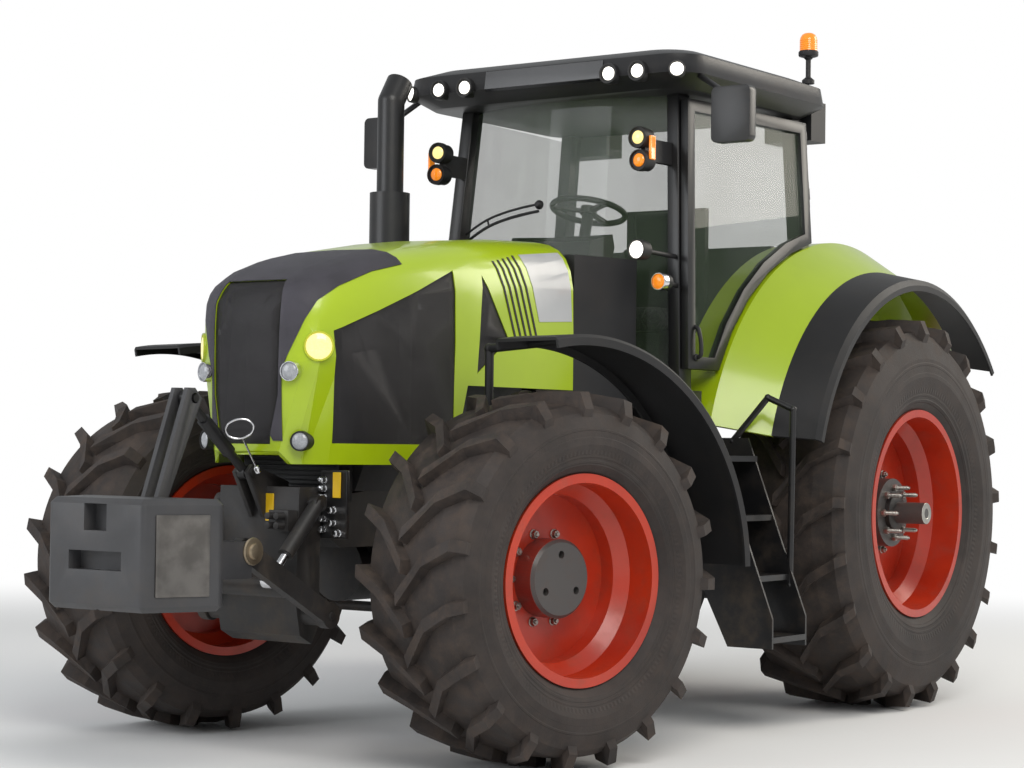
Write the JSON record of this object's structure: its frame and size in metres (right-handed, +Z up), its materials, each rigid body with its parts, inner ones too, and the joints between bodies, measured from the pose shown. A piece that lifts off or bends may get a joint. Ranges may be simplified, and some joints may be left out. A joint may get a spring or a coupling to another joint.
{
  "type": "farm tractor",
  "caption": "Four-wheel-drive farm tractor with hinged bonnet, glazed cab, steered front wheels, lugged tyres, ballasted front linkage and three-point rear linkage.",
  "frame": {"origin": "on the ground, on the centre line, at the middle of the length", "axes": "-Y is forwards, +X is the tractor's left side and +Z is up"},
  "size_m": [3.0574, 6.0999, 3.6597],
  "materials": {
    "green_paint": "gloss",
    "rim_paint": "satin",
    "tyre": "matte",
    "cast_black": "satin",
    "engine_grey": "satin",
    "ballast_grey": "satin",
    "black_paint": "satin",
    "black_plastic": "matte",
    "glass": "gloss",
    "cloth": "matte",
    "lamp": "gloss",
    "red_lens": "gloss",
    "amber_lens": "gloss",
    "rod_chrome": "polished"
  },
  "bodies": {
    "chassis": {"rear_fenders": "green_paint", "front_frame": "cast_black", "gearbox": "cast_black", "rear_axle": "cast_black", "front_axle": "cast_black", "front_linkage_frame": "cast_black", "top_link": "cast_black", "trailer_hitch": "cast_black", "engine_block": "engine_grey", "cowl": "black_paint", "steps": "black_paint", "exhaust": "black_paint", "cab_floor": "black_paint", "front_pillars": "black_paint", "rear_pillars": "black_paint", "roof": "black_plastic", "fuel_tank": "black_plastic", "tool_box": "black_plastic", "fender_flares": "black_plastic", "dashboard": "black_plastic", "steering_wheel": "black_plastic", "seat_base": "black_plastic", "mirrors": "black_plastic", "windscreen": "glass", "rear_window": "glass", "side_window": "glass", "seat": "cloth", "work_lamps": "lamp", "rear_lamps": "red_lens", "beacon": "amber_lens"},
    "bonnet": {"bonnet": "green_paint", "bonnet_grilles": "black_plastic", "bonnet_lamps": "lamp"},
    "door": {"door_frame": "black_paint", "door_glass": "glass"},
    "steer_left": {"knuckle_left": "cast_black", "mudguard_left": "black_plastic"},
    "steer_right": {"knuckle_right": "cast_black", "mudguard_right": "black_plastic"},
    "track_rod": {"tie_rod": "cast_black"},
    "wheel_front_left": {"tyre_front_left": "tyre", "rim_front_left": "rim_paint"},
    "wheel_front_right": {"tyre_front_right": "tyre", "rim_front_right": "rim_paint"},
    "wheel_rear_left": {"tyre_rear_left": "tyre", "rim_rear_left": "rim_paint"},
    "wheel_rear_right": {"tyre_rear_right": "tyre", "rim_rear_right": "rim_paint"},
    "front_arms": {"front_links": "cast_black"},
    "ballast": {"front_weight": "ballast_grey"},
    "front_top": {"front_top_link": "black_paint"},
    "ram_barrels": {"front_lift_barrels": "black_paint"},
    "ram_rods": {"front_lift_rods": "rod_chrome"},
    "rear_links": {"lower_links": "cast_black"},
    "rear_arms": {"lift_arms": "cast_black"},
    "rear_rods": {"lift_rods": "black_paint"}
  },
  "joints": [
    {"name": "bonnet_hinge", "type": "hinge", "parent": "chassis", "child": "bonnet", "pos_m": [0, -0.338, 2.335], "axis": [-1, 0, 0], "range_deg": [0, 60]},
    {"name": "door_hinge", "type": "hinge", "parent": "chassis", "child": "door", "pos_m": [0.82351, 1.46036, 2.67903], "axis": [-0.0696, 0.0049, 0.9976], "range_deg": [0, 45]},
    {"name": "steer", "type": "hinge", "parent": "chassis", "child": "steer_left", "pos_m": [0.87, -1.35, 0.82], "axis": [0, 0, 1], "range_deg": [-18, 42]},
    {"name": "steer_right_pin", "type": "hinge", "parent": "chassis", "child": "steer_right", "pos_m": [-0.87, -1.35, 0.82], "axis": [0, 0, 1], "range_deg": [-18, 42]},
    {"name": "track_rod_pin", "type": "hinge", "parent": "steer_left", "child": "track_rod", "pos_m": [0.91886, -1.12014, 0.62], "axis": [0, 0, 1], "range_deg": [-42, 18]},
    {"name": "wheel_front_left_spin", "type": "hinge", "parent": "steer_left", "child": "wheel_front_left", "pos_m": [1.04607, -1.38742, 0.82], "axis": [0.9781, -0.2079, 0], "continuous": true},
    {"name": "wheel_front_right_spin", "type": "hinge", "parent": "steer_right", "child": "wheel_front_right", "pos_m": [-1.04607, -1.31258, 0.82], "axis": [0.9781, -0.2079, 0], "continuous": true},
    {"name": "wheel_rear_left_spin", "type": "hinge", "parent": "chassis", "child": "wheel_rear_left", "pos_m": [1.03, 1.8, 1.054], "axis": [1, 0, 0], "continuous": true},
    {"name": "wheel_rear_right_spin", "type": "hinge", "parent": "chassis", "child": "wheel_rear_right", "pos_m": [-1.03, 1.8, 1.054], "axis": [1, 0, 0], "continuous": true},
    {"name": "front_lift", "type": "hinge", "parent": "chassis", "child": "front_arms", "pos_m": [0, -1.99, 0.648], "axis": [-1, 0, 0], "range_deg": [-25, 5]},
    {"name": "ballast_tilt", "type": "hinge", "parent": "front_arms", "child": "ballast", "pos_m": [0, -2.54, 0.943], "axis": [-1, 0, 0], "range_deg": [-5, 22]},
    {"name": "front_top_swing", "type": "hinge", "parent": "chassis", "child": "front_top", "pos_m": [0, -2.152, 1.262], "axis": [-1, 0, 0], "range_deg": [-35, 8]},
    {"name": "ram_swing", "type": "hinge", "parent": "chassis", "child": "ram_barrels", "pos_m": [0, -1.985, 1.13], "axis": [-1, 0, 0], "range_deg": [-8, 2]},
    {"name": "ram_slide", "type": "slide", "parent": "ram_barrels", "child": "ram_rods", "axis": [0, -0.6932, -0.7208], "range_m": [-0.029, 0.138]},
    {"name": "rear_lift", "type": "hinge", "parent": "chassis", "child": "rear_links", "pos_m": [0, 2.05, 0.56], "axis": [1, 0, 0], "range_deg": [-18, 25]},
    {"name": "rear_arm_swing", "type": "hinge", "parent": "chassis", "child": "rear_arms", "pos_m": [0, 2.13, 1.33], "axis": [1, 0, 0], "range_deg": [-18, 25]},
    {"name": "rear_rod_swing", "type": "hinge", "parent": "rear_arms", "child": "rear_rods", "pos_m": [0, 2.567, 1.3944], "axis": [1, 0, 0], "range_deg": [-25, 18]}
  ],
  "couplings": [
    {"joint": "steer_right_pin", "follows": "steer", "ratio": 1},
    {"joint": "track_rod_pin", "follows": "steer", "ratio": -1},
    {"joint": "ballast_tilt", "follows": "front_lift", "ratio": -0.853},
    {"joint": "front_top_swing", "follows": "front_lift", "ratio": 1.357},
    {"joint": "ram_swing", "follows": "front_lift", "ratio": 0.2784},
    {"joint": "ram_slide", "follows": "front_lift", "m_per_rad": -0.31},
    {"joint": "rear_arm_swing", "follows": "rear_lift", "ratio": 1},
    {"joint": "rear_rod_swing", "follows": "rear_lift", "ratio": -1}
  ]
}
